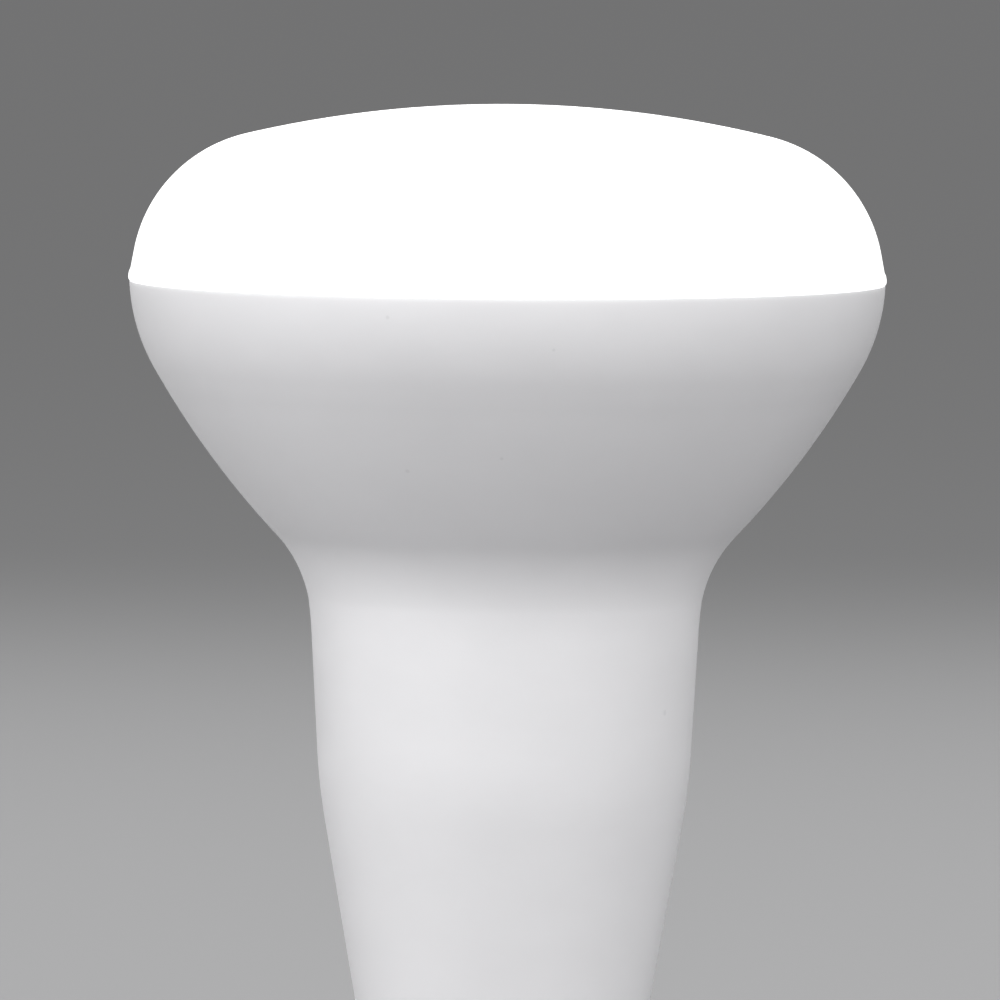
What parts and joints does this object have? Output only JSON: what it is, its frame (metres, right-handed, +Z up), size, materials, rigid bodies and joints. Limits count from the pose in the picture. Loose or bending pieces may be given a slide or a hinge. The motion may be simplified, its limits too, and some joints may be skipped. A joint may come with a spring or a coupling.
{
  "type": "reflector bulb",
  "caption": "Reflector bulb with an opal dome, a white bowl and neck in one moulding, and a small Edison screw cap.",
  "frame": {"origin": "centre of the centre contact's outer face, the lamp's lowest point", "axes": "+Z up the lamp's axis, from the contact through the neck to the crown of the dome; X and Y are alike, because the lamp is round"},
  "size_m": [0.05, 0.05, 0.085],
  "materials": {
    "opal_plastic": "satin opal, lit from inside",
    "white_plastic": "fine satin moulding",
    "plated_shell": "thin nickel plate, lightly brushed by rolling",
    "black_insulator": "glossy black vitreous",
    "contact_brass": "pressed, slightly dull"
  },
  "bodies": {
    "root": {"diffuser_dome": "opal_plastic", "housing": "white_plastic", "screw_shell": "plated_shell", "cap_insulator": "black_insulator", "centre_contact": "contact_brass"}
  },
  "joints": []
}
